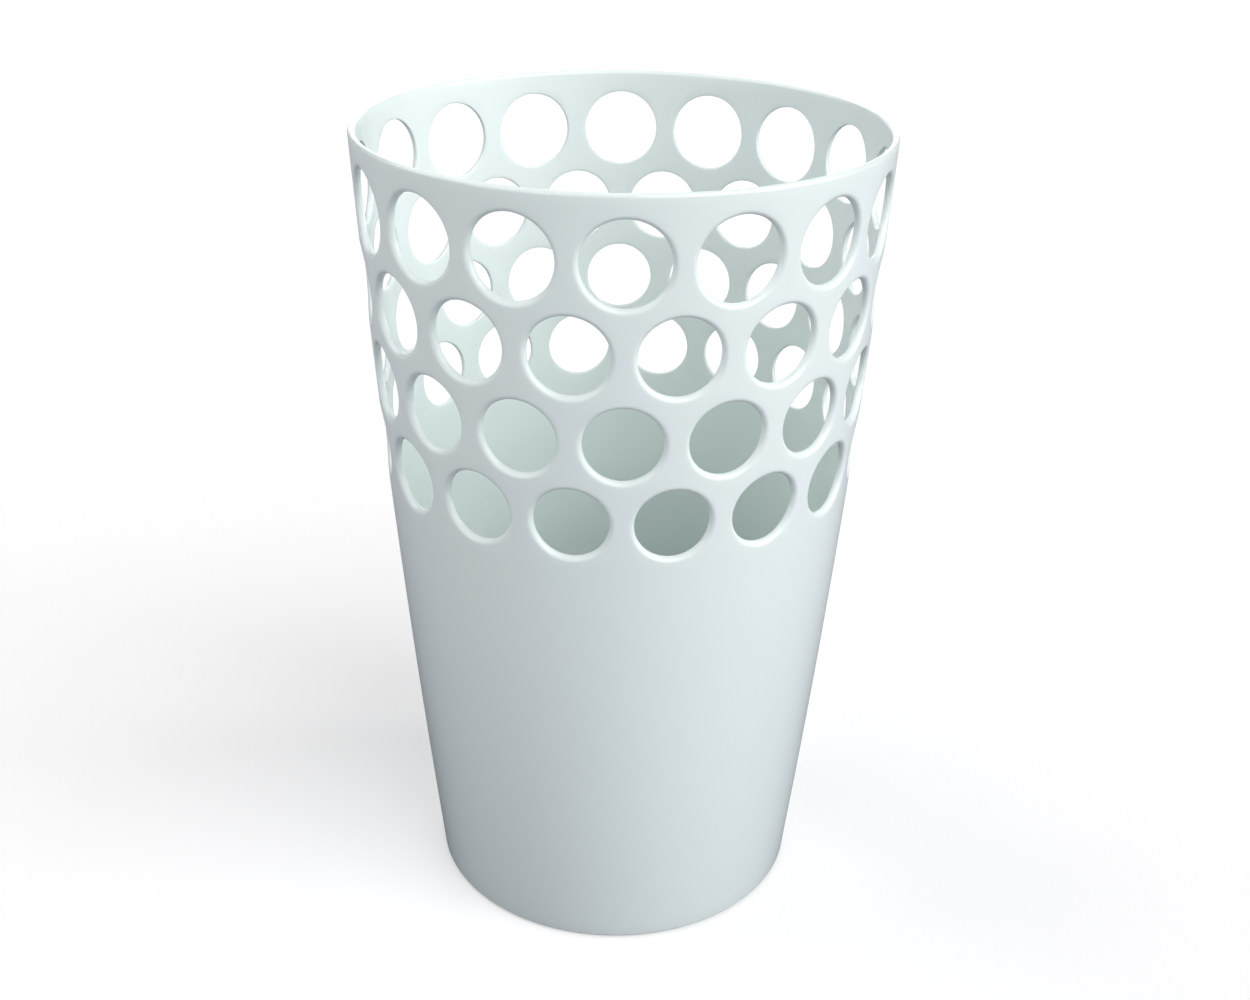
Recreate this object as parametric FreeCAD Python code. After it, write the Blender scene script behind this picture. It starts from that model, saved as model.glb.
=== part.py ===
import FreeCAD, Part
import math
import os
from FreeCAD import Vector

# Umbrella stand: a tapered plastic moulding, open at the top and pierced by rows of round holes.
# It stands on four soft pads, is weighted by an iron disc under its floor, and has a loose drip
# tray inside.  Millimetres, +Z up.  Every piece is drawn with z = 0 at the bottom edge of the
# moulding, then lifted by pad_projection, so that the pads' soles lie at z = 0 in the files.
# The front of the stand faces -Y.

# Moulding
body_height = 450.0          # bottom edge to top of rim
rim_radius = 142.8           # outside, where the wall reaches the rim
base_radius = 108.1          # outside, at the bottom edge
side_bulge = 3.2             # how far the side bows out half way up
wall = 4.0
base_edge_round = 1.2
floor_top = 24.0
floor_thickness = 3.5
floor_corner_round = 8.0

# Holes in the wall: (height of centre, radius) of each row, from the top down
holes_per_row = 16
hole_rows = ((416.3, 21.6), (370.0, 20.5), (324.6, 19.9), (280.1, 19.4))
hole_outer_round = 2.6
hole_inner_round = 0.8

# Base cover, and the screws that hold it
cover_recess = 1.0           # its underside above the moulding's bottom edge
cover_thickness = 3.5
cover_gap = 0.4
screw_count = 4
screw_circle_radius = 92.0
screw_shank_radius = 1.9
screw_length = 14.0
screw_head_radius = 4.0
screw_head_height = 2.1
screw_drive_depth = 1.2
screw_drive_width = 1.0
pilot_radius = 2.0
pilot_roof = 1.0             # left between each screw's pilot hole and the floor
boss_radius = 4.5
gusset_count = 8
gusset_thickness = 2.0
gusset_inner_radius = 80.0

# Ballast disc, centred by a spigot under the floor and clamped between floor and cover
ballast_radius = 75.0
ballast_bore_radius = 12.0
ballast_thickness = 14.0
ballast_chamfer = 1.2
hold_down_radius = 58.0
hold_down_width = 3.0
spigot_radius = 10.0
spigot_overlap = 7.0         # how far the floor's spigot reaches into the ballast's bore

# Foot pads
pad_count = 4
pad_circle_radius = 86.0
pad_radius = 12.0
pad_projection = 1.0         # below the moulding's bottom edge
pad_pocket_depth = 1.5
pad_pocket_gap = 0.3
pad_edge_round = 0.6

# Drip tray
tray_base_radius = 95.0
tray_rim_radius = 102.5
tray_height = 24.0
tray_wall = 2.0
tray_corner_round = 4.0
tray_lip_width = 3.0
tray_rib_radii = (30.0, 52.0, 74.0)
tray_rib_width = 2.5
tray_rib_height = 1.6
tray_tab_rise = 12.0
tray_tab_angle = 20.0

# The side seen in section is one long arc, through the bottom edge, the bulge and the rim
chord_run = rim_radius - base_radius
chord = math.hypot(chord_run, body_height)
side_radius = chord * chord / (8.0 * side_bulge) + side_bulge / 2.0
side_depth = side_radius - side_bulge
side_centre_radius = (rim_radius + base_radius) / 2.0 - side_depth * body_height / chord
side_centre_height = body_height / 2.0 + side_depth * chord_run / chord

floor_under = floor_top - floor_thickness
cover_top = cover_recess + cover_thickness
ballast_top = cover_top + ballast_thickness
row_step = 360.0 / holes_per_row
edge_tolerance = 0.01
z_axis = Vector(0, 0, 1)
centre = Vector(0, 0, 0)


def at(radius, height):
    """A point of a half section, drawn in the plane x = 0 on the back of the stand."""
    return Vector(0, radius, height)


def wall_radius(height, depth):
    """Radius at a height, this deep below the moulding's outer surface."""
    arc_radius = side_radius - depth
    return side_centre_radius + math.sqrt(arc_radius ** 2 - (height - side_centre_height) ** 2)


def wall_normal(height, depth):
    """Outward direction of the wall, in the half section's plane."""
    run = wall_radius(height, depth) - side_centre_radius
    rise = height - side_centre_height
    normal = at(run, rise)
    normal.normalize()
    return normal


def wall_arc(depth, low, high):
    """The side's arc between two heights, this deep below the outer surface."""
    middle = (low + high) / 2.0
    points = [at(wall_radius(height, depth), height) for height in (low, middle, high)]
    return Part.Arc(*points).toShape()


def turned(edges):
    """Solid made by turning a closed half section once round the Z axis."""
    outline = Part.Wire(Part.sortEdges(edges)[0])
    return Part.Solid(Part.Face(outline).revolve(centre, z_axis, 360))


def turned_outline(corners, angle=360):
    """Solid of revolution from the (radius, height) corners of its half section."""
    points = [at(radius, height) for radius, height in corners]
    outline = Part.makePolygon(points + points[:1])
    return Part.Solid(Part.Face(outline).revolve(centre, z_axis, angle))


def ring(outer, inner, bottom, top):
    """Flat ring round the Z axis."""
    return turned_outline([(inner, bottom), (outer, bottom), (outer, top), (inner, top)])


def disc(radius, bottom, top, x=0.0, y=0.0):
    return Part.makeCylinder(radius, top - bottom, Vector(x, y, bottom))


def turned_copy(shape, degrees):
    copy = shape.copy()
    copy.rotate(centre, z_axis, degrees)
    return copy


def around(shape, count, first=0.0):
    """Equally spaced copies of a shape round the Z axis."""
    return [turned_copy(shape, first + index * 360.0 / count) for index in range(count)]


def circle_edges(shape, radius, height):
    """The edges that are level circles, or parts of one, at this radius and height."""
    found = []
    for edge in shape.Edges:
        points = [vertex.Point for vertex in edge.Vertexes]
        points.append(edge.valueAt((edge.FirstParameter + edge.LastParameter) / 2.0))
        if all(abs(math.hypot(p.x, p.y) - radius) < edge_tolerance for p in points):
            if all(abs(p.z - height) < edge_tolerance for p in points):
                found.append(edge)
    return found


def hole_edges(shape, depth):
    """The edges where the wall's holes meet the surface this deep in the wall."""
    found = []
    for edge in shape.Edges:
        middle = edge.valueAt((edge.FirstParameter + edge.LastParameter) / 2.0)
        points = [vertex.Point for vertex in edge.Vertexes] + [middle]
        if any(p.z < floor_top + floor_corner_round or p.z > body_height - wall for p in points):
            continue
        radial_gaps = [math.hypot(p.x, p.y) - wall_radius(p.z, depth) for p in points]
        on_surface = all(abs(gap) < edge_tolerance for gap in radial_gaps)
        bounds = edge.BoundBox
        is_seam = bounds.XLength < edge_tolerance and points[0].y > 0
        if on_surface and not is_seam and bounds.ZLength > edge_tolerance:
            found.append(edge)
    return found


def body_shell():
    """Wall, rounded rim and floor of the moulding, turned from one half section."""
    lip_radius = wall / 2.0
    lip_height = body_height - lip_radius
    lip_centre = at(wall_radius(lip_height, lip_radius), lip_height)
    outward = wall_normal(lip_height, lip_radius)
    upward = at(-outward.z, outward.y)
    outer_end = lip_centre + outward * lip_radius
    inner_end = lip_centre - outward * lip_radius
    lip_top = lip_centre + upward * lip_radius
    skirt_foot = at(wall_radius(0, wall), 0)
    base_corner = at(base_radius, 0)
    skirt_head = at(wall_radius(floor_under, wall), floor_under)
    floor_corner = at(wall_radius(floor_top, wall), floor_top)
    section = [
        wall_arc(0, 0, outer_end.z),
        Part.Arc(outer_end, lip_top, inner_end).toShape(),
        wall_arc(wall, floor_top, inner_end.z),
        Part.makeLine(floor_corner, at(0, floor_top)),
        Part.makeLine(at(0, floor_top), at(0, floor_under)),
        Part.makeLine(at(0, floor_under), skirt_head),
        wall_arc(wall, 0, floor_under),
        Part.makeLine(skirt_foot, base_corner),
    ]
    shell = turned(section)
    shell = shell.makeFillet(floor_corner_round, circle_edges(shell, floor_corner.y, floor_top))
    shell = shell.makeFillet(base_edge_round, circle_edges(shell, base_radius, 0))
    return shell


def wall_hole_cutters():
    """One cutter for each hole, square to the wall, every other row half a step round."""
    cutters = []
    for row, (height, radius) in enumerate(hole_rows):
        normal = wall_normal(height, 0)
        start = at(wall_radius(height, 0), height) - normal * 5 * wall
        cutter = Part.makeCylinder(radius, 10 * wall, start, normal)
        first = row_step / 2.0 if row % 2 else 0.0
        cutters += around(cutter, holes_per_row, first)
    return cutters


def floor_underside():
    """Screw bosses, gussets, hold-down ring and spigot, moulded under the floor."""
    boss = disc(boss_radius, cover_top, floor_under, x=screw_circle_radius)
    gusset_length = wall_radius(cover_top, wall / 2.0) - gusset_inner_radius
    corner = Vector(gusset_inner_radius, -gusset_thickness / 2.0, cover_top)
    gusset = Part.makeBox(gusset_length, gusset_thickness, floor_under - cover_top, corner)
    hold_down = ring(hold_down_radius, hold_down_radius - hold_down_width, ballast_top, floor_under)
    spigot = disc(spigot_radius, ballast_top - spigot_overlap, floor_under)
    return around(boss, screw_count) + around(gusset, gusset_count) + [hold_down, spigot]


def stand_body():
    pilot = disc(pilot_radius, 0, floor_under - pilot_roof, x=screw_circle_radius)
    body = body_shell().fuse(floor_underside()).removeSplitter()
    body = body.cut(around(pilot, screw_count))
    body = body.cut(wall_hole_cutters())
    body = Part.Solid(body.Solids[0])
    body = body.makeFillet(hole_outer_round, hole_edges(body, 0))
    return body.makeFillet(hole_inner_round, hole_edges(body, wall))


def screw_hole():
    """Countersunk clearance hole through the cover, widest at the underside."""
    head_top = cover_recess + screw_head_height
    corners = [
        (0, cover_recess),
        (screw_head_radius, cover_recess),
        (pilot_radius, head_top),
        (pilot_radius, cover_top),
        (0, cover_top),
    ]
    hole = turned_outline(corners)
    hole.translate(Vector(screw_circle_radius, 0, 0))
    return hole


def base_cover():
    radius = wall_radius(cover_recess, wall) - cover_gap
    plate = disc(radius, cover_recess, cover_top)
    plate = plate.makeChamfer(cover_gap, circle_edges(plate, radius, cover_recess))
    pocket_top = cover_recess + pad_pocket_depth
    pocket = disc(pad_radius + pad_pocket_gap, cover_recess, pocket_top, x=pad_circle_radius)
    cover = plate.cut(around(screw_hole(), screw_count))
    return cover.cut(around(pocket, pad_count, 180.0 / pad_count))


def cover_screws():
    """Countersunk screws with a cross recess, one solid each."""
    head_top = cover_recess + screw_head_height
    tip = cover_recess + screw_length
    taper = screw_shank_radius / 2.0
    corners = [
        (0, cover_recess),
        (screw_head_radius, cover_recess),
        (screw_shank_radius, head_top),
        (screw_shank_radius, tip - 2 * taper),
        (taper, tip),
        (0, tip),
    ]
    screw = turned_outline(corners)
    slot_length = 2 * screw_shank_radius
    corner = Vector(-slot_length / 2.0, -screw_drive_width / 2.0, cover_recess)
    slot = Part.makeBox(slot_length, screw_drive_width, screw_drive_depth, corner)
    screw = screw.cut([slot, turned_copy(slot, 90)])
    screw.translate(Vector(screw_circle_radius, 0, 0))
    return Part.makeCompound(around(screw, screw_count))


def ballast_disc():
    iron = ring(ballast_radius, ballast_bore_radius, cover_top, ballast_top)
    edges = []
    for radius in (ballast_radius, ballast_bore_radius):
        for height in (cover_top, ballast_top):
            edges += circle_edges(iron, radius, height)
    return iron.makeChamfer(ballast_chamfer, edges)


def foot_pads():
    """Round pads between the screws, each seated in a pocket of the cover."""
    pad = disc(pad_radius, -pad_projection, cover_recess + pad_pocket_depth)
    pad = pad.makeFillet(pad_edge_round, circle_edges(pad, pad_radius, -pad_projection))
    pad.translate(Vector(pad_circle_radius, 0, 0))
    return around(pad, pad_count, 180.0 / pad_count)


def drip_tray():
    """Shallow dish on the stand's floor, with a flat lip and two upright finger tabs."""
    bottom = floor_top
    rim = bottom + tray_height
    lip_radius = tray_rim_radius + tray_lip_width
    lean = (tray_rim_radius - tray_base_radius) / tray_height
    outer = [(0, bottom), (tray_base_radius, bottom), (tray_rim_radius, rim - tray_wall)]
    lip = [(lip_radius, rim - tray_wall), (lip_radius, rim), (tray_rim_radius - tray_wall, rim)]
    inner_corner = (tray_base_radius - tray_wall + lean * tray_wall, bottom + tray_wall)
    dish = turned_outline(outer + lip + [inner_corner, (0, bottom + tray_wall)])
    dish = dish.makeFillet(tray_corner_round, circle_edges(dish, tray_base_radius, bottom))
    dish = dish.makeFillet(tray_corner_round - tray_wall, circle_edges(dish, *inner_corner))
    ribs = []
    for radius in tray_rib_radii:
        rib_top = bottom + tray_wall + tray_rib_height
        ribs.append(ring(radius, radius - tray_rib_width, bottom + tray_wall, rib_top))
    tab_inner = tray_rim_radius - tray_wall
    tab_outer = tab_inner + tray_wall
    tab_corners = [
        (tab_inner, rim - tray_wall),
        (tab_outer, rim - tray_wall),
        (tab_outer, rim + tray_tab_rise),
        (tab_inner, rim + tray_tab_rise),
    ]
    tab = turned_outline(tab_corners, tray_tab_angle)
    tabs = around(tab, 2, 90.0 - tray_tab_angle / 2.0)
    return dish.fuse(ribs + tabs).removeSplitter()


def save(node, shape):
    lifted = shape.copy()
    lifted.translate(Vector(0, 0, pad_projection))
    lifted.exportStep("parts/" + node + ".step")
    print(node, "valid", lifted.isValid(), "solids", len(lifted.Solids), "volume", round(lifted.Volume))


os.makedirs("parts", exist_ok=True)
save("stand_body", stand_body())
save("drip_tray", drip_tray())
save("ballast_disc", ballast_disc())
save("base_cover", base_cover())
save("cover_screws", cover_screws())
for number, pad in enumerate(foot_pads(), start=1):
    save("foot_pad_" + str(number), pad)
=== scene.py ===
import math
import bpy
import bmesh
from mathutils import Matrix, Vector


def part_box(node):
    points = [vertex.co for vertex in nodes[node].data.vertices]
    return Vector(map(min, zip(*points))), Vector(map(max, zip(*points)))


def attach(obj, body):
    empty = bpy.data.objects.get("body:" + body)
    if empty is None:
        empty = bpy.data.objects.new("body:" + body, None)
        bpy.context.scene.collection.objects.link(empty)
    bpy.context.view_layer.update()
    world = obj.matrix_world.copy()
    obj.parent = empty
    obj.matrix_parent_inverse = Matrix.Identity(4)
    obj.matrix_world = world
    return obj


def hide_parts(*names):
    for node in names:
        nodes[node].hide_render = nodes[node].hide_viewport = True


# Umbrella stand.  Metres, +Z up, front towards -Y, foot pads' soles at z = 0.
# The moulding is rebuilt here as a clean quad mesh with true rounds on every hole.  The other
# pieces keep their CAD shape.  Every surface gets its own procedural material.

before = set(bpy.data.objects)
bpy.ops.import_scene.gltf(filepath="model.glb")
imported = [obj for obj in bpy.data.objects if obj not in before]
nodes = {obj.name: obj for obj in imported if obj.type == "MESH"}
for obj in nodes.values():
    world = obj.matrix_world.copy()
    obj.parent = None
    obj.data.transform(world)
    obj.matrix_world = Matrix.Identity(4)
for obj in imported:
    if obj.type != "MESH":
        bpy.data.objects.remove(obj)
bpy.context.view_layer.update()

# ---- the moulding's driving dimensions, the same as in the CAD part --------------------------
body_low, body_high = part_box("stand_body")
base_height = body_low.z             # bottom edge of the moulding above the floor
body_height = body_high.z - body_low.z
rim_radius = 0.1428                  # outside, where the wall reaches the rim
base_radius = 0.1081                 # outside, at the bottom edge
side_bulge = 0.0032                  # how far the side bows out half way up
wall = 0.004
base_edge_round = 0.0012
skirt_edge_round = 0.0005            # only here: the CAD part's edge is sharp
floor_top = 0.024
floor_thickness = 0.0035
floor_corner_round = 0.008
holes_per_row = 16
# Each row's height above the bottom edge and its holes' radius, from the top row down.
hole_rows = ((0.4163, 0.0216), (0.3700, 0.0205), (0.3246, 0.0199), (0.2801, 0.0194))
hole_outer_round = 0.0026
hole_inner_round = 0.0008

# ---- mesh density ----------------------------------------------------------------------------
side_steps = 10                      # along each of the six sides of the cell round a hole
land_steps = 3                       # from a hole's round to the edge of its cell
outer_round_steps = 6
inner_round_steps = 3
lip_steps = 12
corner_steps = 8
wall_steps = 24                      # up the closed lower wall
floor_steps = 10
floor_cap_radius = 0.006             # the middle of the floor is one flat face
ball_settling = 6                    # passes that bring a rolling ball up against the wall
weld_distance = 1e-6

# ---- the side, in section, is one long arc ---------------------------------------------------
chord_run = rim_radius - base_radius
chord = math.hypot(chord_run, body_height)
side_radius = chord * chord / (8 * side_bulge) + side_bulge / 2
side_depth = side_radius - side_bulge
side_centre_radius = (rim_radius + base_radius) / 2 - side_depth * body_height / chord
side_centre_height = body_height / 2 + side_depth * chord_run / chord
half_step = math.pi / holes_per_row  # half the turn from one hole to the next
columns = 2 * holes_per_row * side_steps    # round the turned surfaces, to meet the cells' edges


# ---- wall geometry ---------------------------------------------------------------------------
def lean_at(height):
    """Angle of the wall's normal above the level, where the outer surface is at this height."""
    return math.asin((height - side_centre_height) / side_radius)


def section_point(height, depth):
    """(radius, height) this deep in the wall, square in from the outer surface at a height."""
    lean = lean_at(height)
    reach = side_radius - depth
    return side_centre_radius + reach * math.cos(lean), side_centre_height + reach * math.sin(lean)


def turned(radius, height, turn):
    """A point in space.  Turn 0 is the front, -Y, and turns run towards +X."""
    return Vector((radius * math.sin(turn), -radius * math.cos(turn), height))


def wall_point(turn, height, depth):
    """The point this deep in the wall, square in from the outer surface at a turn and height."""
    radius, level = section_point(height, depth)
    return turned(radius, level, turn)


def depth_of(point):
    """How deep in the wall a point lies."""
    run = math.hypot(point.x, point.y) - side_centre_radius
    return side_radius - math.hypot(run, point.z - side_centre_height)


def normal_at(point):
    """Outward direction of the wall at a point."""
    radius = math.hypot(point.x, point.y)
    run = radius - side_centre_radius
    normal = Vector((run * point.x / radius, run * point.y / radius, point.z - side_centre_height))
    return normal.normalized()


def surface_place(point):
    """(turn, height) of the outer surface's point that is square to this one."""
    lean = math.asin(normal_at(point).z)
    return math.atan2(point.x, -point.y), side_centre_height + side_radius * math.sin(lean)


def lip_start():
    """Height on the outer surface where the rim's round starts."""
    centre_height = body_height - wall / 2
    lean = math.asin((centre_height - side_centre_height) / (side_radius - wall / 2))
    return side_centre_height + side_radius * math.sin(lean)


# ---- the pierced wall ------------------------------------------------------------------------
def cell_reach(upper, lower):
    """How far a cell's peak reaches from its hole's centre towards the next row."""
    middle = (hole_rows[upper][0] + hole_rows[lower][0]) / 2
    half_pitch = half_step * section_point(middle, 0)[0]
    spacing = hole_rows[upper][0] - hole_rows[lower][0]
    return spacing / 2 + half_pitch ** 2 / (2 * spacing)


def pierced_bottom():
    """Height where the pierced wall ends and the closed wall starts."""
    last = len(hole_rows) - 1
    return hole_rows[last][0] - cell_reach(last - 1, last)


def cell_corners(row):
    """The six corners, as (turn from the hole, height), anticlockwise from the upper right."""
    centre = hole_rows[row][0]
    if row == 0:
        upper_side = upper_peak = lip_start()
    else:
        reach = cell_reach(row - 1, row)
        upper_side = hole_rows[row - 1][0] - reach
        upper_peak = centre + reach
    if row == len(hole_rows) - 1:
        lower_side = lower_peak = pierced_bottom()
    else:
        reach = cell_reach(row, row + 1)
        lower_side = hole_rows[row + 1][0] + reach
        lower_peak = centre - reach
    return [
        (half_step, upper_side), (0, upper_peak), (-half_step, upper_side),
        (-half_step, lower_side), (0, lower_peak), (half_step, lower_side),
    ]


def cell_border(row):
    """Evenly spaced places along the six sides of the cell."""
    corners = cell_corners(row)
    border = []
    for start, end in zip(corners, corners[1:] + corners[:1]):
        for step in range(side_steps):
            share = step / side_steps
            turn = start[0] + (end[0] - start[0]) * share
            height = start[1] + (end[1] - start[1]) * share
            border.append((turn, height))
    return border


def round_arc(row, angle, edge_round, at_depth, facing, steps):
    """Arc of a rolling ball between the hole's bore and one face of the wall.

    facing is 1 for the outer face and -1 for the inner one.  The arc starts on the bore.
    """
    height, radius = hole_rows[row]
    origin = wall_point(0, height, 0)
    axis = normal_at(origin)
    sideways = Vector((1, 0, 0))
    upwards = axis.cross(sideways)
    direction = sideways * math.cos(angle) + upwards * math.sin(angle)
    ball = origin + direction * (radius + edge_round) - axis * at_depth
    for _ in range(ball_settling):
        ball = ball + axis * (depth_of(ball) - at_depth)
    start = -direction
    end = normal_at(ball) * facing
    spread = start.angle(end)
    arc = []
    for step in range(steps + 1):
        share = step / steps
        towards = start * math.sin((1 - share) * spread) + end * math.sin(share * spread)
        arc.append(ball + towards * (edge_round / math.sin(spread)))
    return arc


def land(arc_end, border_place, depth):
    """Points on one face of the wall, from a hole's round to the edge of its cell."""
    turn, height = surface_place(arc_end)
    points = []
    for step in range(1, land_steps + 1):
        share = step / land_steps
        place_turn = turn + (border_place[0] - turn) * share
        place_height = height + (border_place[1] - height) * share
        points.append(wall_point(place_turn, place_height, depth))
    return points


def cell_spokes(row):
    """One spoke for each border place: outer face, outer round, bore, inner round, inner face."""
    centre = hole_rows[row][0]
    radius = section_point(centre, 0)[0]
    spokes = []
    for place in cell_border(row):
        angle = math.atan2(place[1] - centre, place[0] * radius)
        outer = round_arc(row, angle, hole_outer_round, hole_outer_round, 1, outer_round_steps)
        inner_depth = wall - hole_inner_round
        inner = round_arc(row, angle, hole_inner_round, inner_depth, -1, inner_round_steps)
        outer_land = land(outer[-1], place, 0)
        inner_land = land(inner[-1], place, wall)
        spokes.append(outer_land[::-1] + outer[::-1] + inner + inner_land)
    return spokes


def add_strip(mesh, spokes, closed=True):
    """Quads between neighbouring spokes, which are rows of vertices of equal length."""
    following = spokes[1:] + spokes[:1] if closed else spokes[1:]
    for left, right in zip(spokes, following):
        for index in range(len(left) - 1):
            corners = (left[index], left[index + 1], right[index + 1], right[index])
            mesh.faces.new(corners)


def add_pierced_wall(mesh):
    """The rows of cells, one round each hole.  Every other row is turned by half a step."""
    for row in range(len(hole_rows)):
        spokes = cell_spokes(row)
        first = half_step if row % 2 else 0
        for column in range(holes_per_row):
            spin = Matrix.Rotation(first + 2 * half_step * column, 3, "Z")
            cell = [[mesh.verts.new(spin @ point) for point in spoke] for spoke in spokes]
            add_strip(mesh, cell)


# ---- the rest of the moulding ----------------------------------------------------------------
def arc_points(centre, radius, start, end, steps):
    """(radius, height) places along an arc in the half section.  Angles are in degrees."""
    places = []
    for step in range(steps + 1):
        angle = math.radians(start + (end - start) * step / steps)
        places.append((centre[0] + radius * math.cos(angle), centre[1] + radius * math.sin(angle)))
    return places


def line_points(start, end, steps):
    """(radius, height) places between two others, without the first one."""
    places = []
    for step in range(1, steps + 1):
        share = step / steps
        places.append(tuple(a + (b - a) * share for a, b in zip(start, end)))
    return places


def wall_places(depth, high, low, steps):
    """(radius, height) places down one face of the wall."""
    heights = [high + (low - high) * step / steps for step in range(steps + 1)]
    return [section_point(height, depth) for height in heights]


def add_turned(mesh, places, close_end):
    """A surface of revolution.  close_end caps its last ring."""
    spokes = []
    for column in range(columns):
        turn = 2 * math.pi * column / columns
        spokes.append([mesh.verts.new(turned(radius, height, turn)) for radius, height in places])
    add_strip(mesh, spokes)
    if close_end:
        mesh.faces.new([spoke[-1] for spoke in spokes])


def lip_places():
    """The full round on the rim, from the outer face over to the inner one."""
    start = lip_start()
    centre = section_point(start, wall / 2)
    lean = math.degrees(lean_at(start))
    return arc_points(centre, wall / 2, lean, lean + 180, lip_steps)


def inside_places():
    """Down the inside of the closed wall, round the corner and in over the floor."""
    top = pierced_bottom()
    ball_height = floor_top + floor_corner_round
    down = wall_places(wall, top, ball_height, wall_steps)
    lean = math.degrees(lean_at(ball_height))
    centre = section_point(ball_height, wall + floor_corner_round)
    corner = arc_points((centre[0], ball_height), floor_corner_round, lean, -90, corner_steps)
    across = line_points(corner[-1], (floor_cap_radius, floor_top), floor_steps)
    return down[:-1] + corner + across


def outside_places():
    """Down the outside, round the bottom edge, up inside the skirt and in under the floor."""
    top = pierced_bottom()
    down = wall_places(0, top, base_edge_round, wall_steps)
    centre = section_point(base_edge_round, base_edge_round)
    lean = math.degrees(lean_at(base_edge_round))
    edge = arc_points((centre[0], base_edge_round), base_edge_round, lean, -90, corner_steps)
    inner_radius = section_point(skirt_edge_round, wall + skirt_edge_round)[0]
    inner_centre = (inner_radius + 2 * skirt_edge_round, skirt_edge_round)
    inner_edge = arc_points(inner_centre, skirt_edge_round, -90, -180, inner_round_steps)
    floor_under = floor_top - floor_thickness
    skirt_head = (section_point(floor_under, wall)[0], floor_under)
    up = line_points(inner_edge[-1], skirt_head, corner_steps)
    under = line_points(skirt_head, (floor_cap_radius, floor_under), floor_steps)
    return down[:-1] + edge + inner_edge + up + under


def smooth_object(name, mesh):
    """Welds a bmesh, turns its faces outwards and makes it a smooth-shaded object."""
    bmesh.ops.remove_doubles(mesh, verts=mesh.verts, dist=weld_distance)
    bmesh.ops.recalc_face_normals(mesh, faces=mesh.faces)
    data = bpy.data.meshes.new(name)
    mesh.to_mesh(data)
    mesh.free()
    data.shade_smooth()
    made = bpy.data.objects.new(name, data)
    bpy.context.scene.collection.objects.link(made)
    return made


def make_moulding():
    mesh = bmesh.new()
    add_pierced_wall(mesh)
    add_turned(mesh, lip_places(), close_end=False)
    add_turned(mesh, inside_places(), close_end=True)
    add_turned(mesh, outside_places(), close_end=True)
    bmesh.ops.translate(mesh, verts=mesh.verts, vec=Vector((0, 0, base_height)))
    moulding = smooth_object("moulding", mesh)
    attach(moulding, "stand")
    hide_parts("stand_body")
    return moulding


# ---- shader helpers --------------------------------------------------------------------------
mix_factor_socket = 0                # the colour sockets of a Mix node share their names with
mix_color_sockets = (6, 7)           # others, so they are picked by place
mix_result_socket = 2
noise_low = 0.3                      # most of a noise texture's values lie between these two
noise_high = 0.7


def shade(color, factor):
    """A colour made darker or lighter."""
    return tuple(channel * factor for channel in color)


class Shader:
    """Builds one Principled material node by node."""

    def __init__(self, name, base_color, roughness):
        self.material = bpy.data.materials.new(name)
        self.material.use_nodes = True
        self.tree = self.material.node_tree
        self.principled = self.tree.nodes["Principled BSDF"]
        self.set(self.principled, "Base Color", (*base_color, 1))
        self.set(self.principled, "Roughness", roughness)
        self.coordinates = self.tree.nodes.new("ShaderNodeTexCoord").outputs["Object"]

    def set(self, node, socket, value):
        node.inputs[socket].default_value = value

    def link(self, output, node, socket):
        self.tree.links.new(output, node.inputs[socket])

    def noise(self, scale, detail=3, stretch=(1, 1, 1)):
        """Noise with features about 1/scale metres across."""
        mapping = self.tree.nodes.new("ShaderNodeMapping")
        self.set(mapping, "Scale", stretch)
        self.link(self.coordinates, mapping, "Vector")
        texture = self.tree.nodes.new("ShaderNodeTexNoise")
        self.set(texture, "Scale", scale)
        self.set(texture, "Detail", detail)
        self.link(mapping.outputs["Vector"], texture, "Vector")
        return texture.outputs["Fac"]

    def between(self, value, low, high, low_in=noise_low, high_in=noise_high):
        """The value, mapped from low_in..high_in to low..high and kept inside it."""
        remap = self.tree.nodes.new("ShaderNodeMapRange")
        self.set(remap, "From Min", low_in)
        self.set(remap, "From Max", high_in)
        self.set(remap, "To Min", low)
        self.set(remap, "To Max", high)
        self.link(value, remap, "Value")
        return remap.outputs["Result"]

    def mix_color(self, factor, color_a, color_b):
        """color_a where the factor is 0 and color_b where it is 1.  Either may be an output."""
        mix = self.tree.nodes.new("ShaderNodeMix")
        mix.data_type = "RGBA"
        for color, place in zip((color_a, color_b), mix_color_sockets):
            if isinstance(color, tuple):
                mix.inputs[place].default_value = (*color, 1)
            else:
                self.tree.links.new(color, mix.inputs[place])
        self.tree.links.new(factor, mix.inputs[mix_factor_socket])
        return mix.outputs[mix_result_socket]

    def bump(self, height, strength, distance):
        """Adds a bump on top of any that the shader already has."""
        bump = self.tree.nodes.new("ShaderNodeBump")
        self.set(bump, "Strength", strength)
        self.set(bump, "Distance", distance)
        self.link(height, bump, "Height")
        previous = self.principled.inputs["Normal"].links
        if previous:
            self.link(previous[0].from_socket, bump, "Normal")
        self.link(bump.outputs["Normal"], self.principled, "Normal")


def gloss_plastic():
    """Glossy cool-white moulded plastic, with a little orange peel and faint handling marks."""
    color = (0.762, 0.85, 0.82)
    shader = Shader("gloss_plastic", color, roughness=0.23)
    cloud = shader.between(shader.noise(scale=9, detail=2), low=0, high=1)
    tint = shader.mix_color(cloud, shade(color, factor=0.994), shade(color, factor=1.006))
    shader.link(tint, shader.principled, "Base Color")
    marks = shader.noise(scale=14, detail=5, stretch=(1, 1, 0.35))
    shader.link(shader.between(marks, low=0.2, high=0.27), shader.principled, "Roughness")
    shader.set(shader.principled, "IOR", 1.5)
    shader.set(shader.principled, "Specular IOR Level", 0.4)
    shader.set(shader.principled, "Coat Weight", 0.3)
    shader.set(shader.principled, "Coat Roughness", 0.05)
    shader.bump(shader.noise(scale=260, detail=2), strength=0.05, distance=0.0004)
    return shader.material


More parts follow.
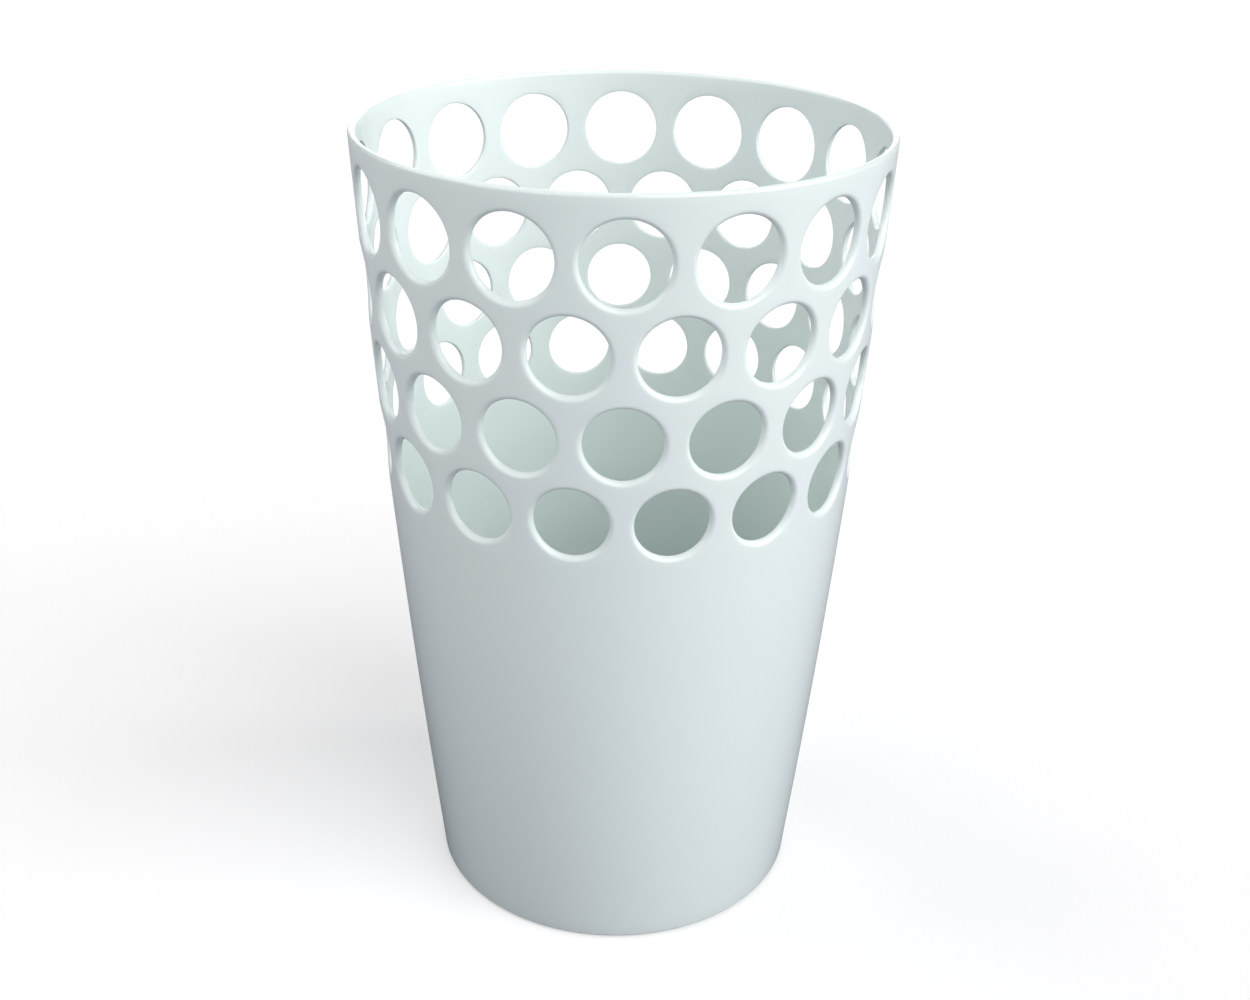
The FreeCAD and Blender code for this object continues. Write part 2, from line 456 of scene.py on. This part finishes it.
def satin_plastic(name, color, grain_strength):
    """Satin moulded plastic with a fine spark-eroded grain."""
    shader = Shader(name, color, roughness=0.45)
    cloud = shader.between(shader.noise(scale=12), low=0, high=1)
    tint = shader.mix_color(cloud, shade(color, factor=0.95), color)
    shader.link(tint, shader.principled, "Base Color")
    dullness = shader.between(shader.noise(scale=40, detail=4), low=0.4, high=0.55)
    shader.link(dullness, shader.principled, "Roughness")
    shader.bump(shader.noise(scale=1800, detail=2), grain_strength, distance=0.0002)
    return shader.material


def cast_iron():
    """Dark, dull iron with patches of skin and a sandy grain."""
    shader = Shader("cast_iron", (0.16, 0.16, 0.17), roughness=0.7)
    patches = shader.between(shader.noise(scale=60, detail=6), low=0, high=1)
    color = shader.mix_color(patches, (0.12, 0.12, 0.125), (0.2, 0.19, 0.185))
    shader.link(color, shader.principled, "Base Color")
    shader.set(shader.principled, "Metallic", 0.6)
    dullness = shader.between(patches, low=0.6, high=0.8, low_in=0, high_in=1)
    shader.link(dullness, shader.principled, "Roughness")
    shader.bump(shader.noise(scale=700, detail=6), strength=0.5, distance=0.0006)
    return shader.material


def zinc_steel():
    """Bright zinc-plated steel with a fine mottle."""
    shader = Shader("zinc_steel", (0.62, 0.62, 0.6), roughness=0.3)
    shader.set(shader.principled, "Metallic", 1)
    spangle = shader.between(shader.noise(scale=900), low=0, high=1)
    color = shader.mix_color(spangle, (0.55, 0.55, 0.53), (0.66, 0.66, 0.63))
    shader.link(color, shader.principled, "Base Color")
    dullness = shader.between(spangle, low=0.24, high=0.4, low_in=0, high_in=1)
    shader.link(dullness, shader.principled, "Roughness")
    return shader.material


def pad_rubber():
    """Black rubber with a little dust on it."""
    shader = Shader("pad_rubber", (0.035, 0.035, 0.037), roughness=0.75)
    dust = shader.between(shader.noise(scale=150, detail=5), low=0, high=1)
    color = shader.mix_color(dust, (0.03, 0.03, 0.032), (0.055, 0.054, 0.052))
    shader.link(color, shader.principled, "Base Color")
    shader.bump(shader.noise(scale=1500), strength=0.4, distance=0.0003)
    return shader.material


def set_material(piece, material):
    piece.data.materials.clear()
    piece.data.materials.append(material)


# ---- the studio ------------------------------------------------------------------------------
camera_distance = 0.8258             # level distance from the stand's axis
camera_height = 0.6328               # above the moulding's bottom edge
camera_turn = -0.0131                # round the stand's axis, from straight in front, in radians
camera_pan = 0.0176                  # to the right of straight back, in radians
camera_pitch = 0.4529                # downwards, in radians
camera_roll = 0.0161                 # in radians
camera_lens = 45.41                  # millimetres, and so is the sensor's width
sensor_width = 36.0
floor_size = 14.0
light_color = (1.01, 1.0, 1.03)
floor_seen = (0.63, 0.635, 0.625)    # the floor's colour to the camera
shadow_lift = (0.36, 0.36, 0.36)     # keeps the shadows on the floor pale
# Near the stand the floor's colour is darker: painted shade on the stand's lower part.
near_bounce = (0.13, 0.135, 0.174)   # the floor's colour in the light it throws at the stand
far_bounce = (0.4, 0.4, 0.43)
near_floor = 0.2                     # distances from the middle of the floor
far_floor = 0.8
world_seen = 1.0                     # what the camera sees past the floor
glow_below = 0.44                    # what the stand gets from under the horizon
glow_above = 0.04                    # and from over it
horizon = 0.05                       # half the height of the band where the one fades to the other


def studio_floor_material():
    """White to the camera.  To the stand it is greyer, and greyest close by, as painted shade that
    darkens the stand's lower part.
    """
    shader = Shader("studio_floor", floor_seen, roughness=0.9)
    distance = shader.tree.nodes.new("ShaderNodeVectorMath")
    distance.operation = "LENGTH"
    shader.link(shader.coordinates, distance, "Vector")
    away = distance.outputs["Value"]
    farness = shader.between(away, low=0, high=1, low_in=near_floor, high_in=far_floor)
    bounce = shader.mix_color(farness, near_bounce, far_bounce)
    seen = shader.tree.nodes.new("ShaderNodeLightPath").outputs["Is Camera Ray"]
    color = shader.mix_color(seen, bounce, floor_seen)
    shader.link(color, shader.principled, "Base Color")
    lift = shader.mix_color(seen, (0, 0, 0), shadow_lift)
    shader.link(lift, shader.principled, "Emission Color")
    shader.set(shader.principled, "Emission Strength", 1)
    shader.set(shader.principled, "Specular IOR Level", 0.1)
    return shader.material


def make_camera():
    """Stands in front of the stand, looks down at it and leans a little to one side."""
    data = bpy.data.cameras.new("camera")
    data.sensor_width = sensor_width
    data.lens = camera_lens
    camera = bpy.data.objects.new("camera", data)
    bpy.context.scene.collection.objects.link(camera)
    place = turned(camera_distance, base_height + camera_height, camera_turn)
    level = Vector((math.sin(camera_pan), math.cos(camera_pan), 0))
    forward = level * math.cos(camera_pitch) - Vector((0, 0, math.sin(camera_pitch)))
    right = Vector((math.cos(camera_pan), -math.sin(camera_pan), 0))
    rolled = Matrix.Rotation(-camera_roll, 3, forward)
    right = rolled @ right
    up = right.cross(forward)
    axes = Matrix((right, up, -forward)).transposed()
    camera.matrix_world = Matrix.Translation(place) @ axes.to_4x4()
    bpy.context.scene.camera = camera


def make_floor():
    mesh = bmesh.new()
    bmesh.ops.create_grid(mesh, x_segments=1, y_segments=1, size=floor_size / 2)
    floor = smooth_object("floor", mesh)
    set_material(floor, studio_floor_material())


def make_soft_light(name, azimuth, elevation, spread, strength):
    """Distant soft light, spread degrees wide.  Azimuth 0 is in front and 90 to the right."""
    data = bpy.data.lights.new(name, "SUN")
    data.energy = strength
    data.angle = math.radians(spread)
    data.color = light_color
    light = bpy.data.objects.new(name, data)
    bpy.context.scene.collection.objects.link(light)
    level = math.cos(math.radians(elevation))
    rise = math.sin(math.radians(elevation))
    towards_light = turned(level, rise, math.radians(azimuth))
    light.rotation_euler = (-towards_light).to_track_quat("-Z", "Y").to_euler()


def make_world():
    """White to the camera.  To everything else it is a dim glow, mostly from below the horizon."""
    world = bpy.data.worlds.new("studio")
    world.use_nodes = True
    tree = world.node_tree
    background = tree.nodes["Background"]
    background.inputs["Color"].default_value = (1, 1, 1, 1)
    direction = tree.nodes.new("ShaderNodeSeparateXYZ")
    coordinates = tree.nodes.new("ShaderNodeTexCoord")
    tree.links.new(coordinates.outputs["Generated"], direction.inputs["Vector"])
    glow = tree.nodes.new("ShaderNodeMapRange")
    glow.inputs["From Min"].default_value = -horizon
    glow.inputs["From Max"].default_value = horizon
    glow.inputs["To Min"].default_value = glow_below
    glow.inputs["To Max"].default_value = glow_above
    tree.links.new(direction.outputs["Z"], glow.inputs["Value"])
    strength = tree.nodes.new("ShaderNodeMapRange")
    strength.inputs["To Max"].default_value = world_seen
    tree.links.new(glow.outputs["Result"], strength.inputs["To Min"])
    light_path = tree.nodes.new("ShaderNodeLightPath")
    tree.links.new(light_path.outputs["Is Camera Ray"], strength.inputs["Value"])
    tree.links.new(strength.outputs["Result"], background.inputs["Strength"])
    bpy.context.scene.world = world


def make_studio():
    make_camera()
    make_floor()
    make_world()
    make_soft_light("key_light", azimuth=42, elevation=41, spread=50, strength=2.0)
    make_soft_light("right_light", azimuth=75, elevation=15, spread=45, strength=1.48)
    make_soft_light("front_light", azimuth=-45, elevation=18, spread=45, strength=0.88)
    make_soft_light("left_light", azimuth=-105, elevation=45, spread=50, strength=1.15)
    make_soft_light("back_light", azimuth=180, elevation=12, spread=50, strength=0.9)
    make_soft_light("glint_light", azimuth=95, elevation=45, spread=10, strength=0.3)
    bpy.context.scene.view_settings.view_transform = "Standard"


# ---- build -----------------------------------------------------------------------------------
moulding = make_moulding()
set_material(moulding, gloss_plastic())
tray_plastic = satin_plastic("tray_plastic", (0.7, 0.74, 0.73), grain_strength=0.12)
set_material(nodes["drip_tray"], tray_plastic)
cover_plastic = satin_plastic("cover_plastic", (0.62, 0.66, 0.65), grain_strength=0.3)
set_material(nodes["base_cover"], cover_plastic)
set_material(nodes["ballast_disc"], cast_iron())
set_material(nodes["cover_screws"], zinc_steel())
rubber = pad_rubber()
for name, piece in nodes.items():
    if name.startswith("foot_pad"):
        set_material(piece, rubber)
make_studio()
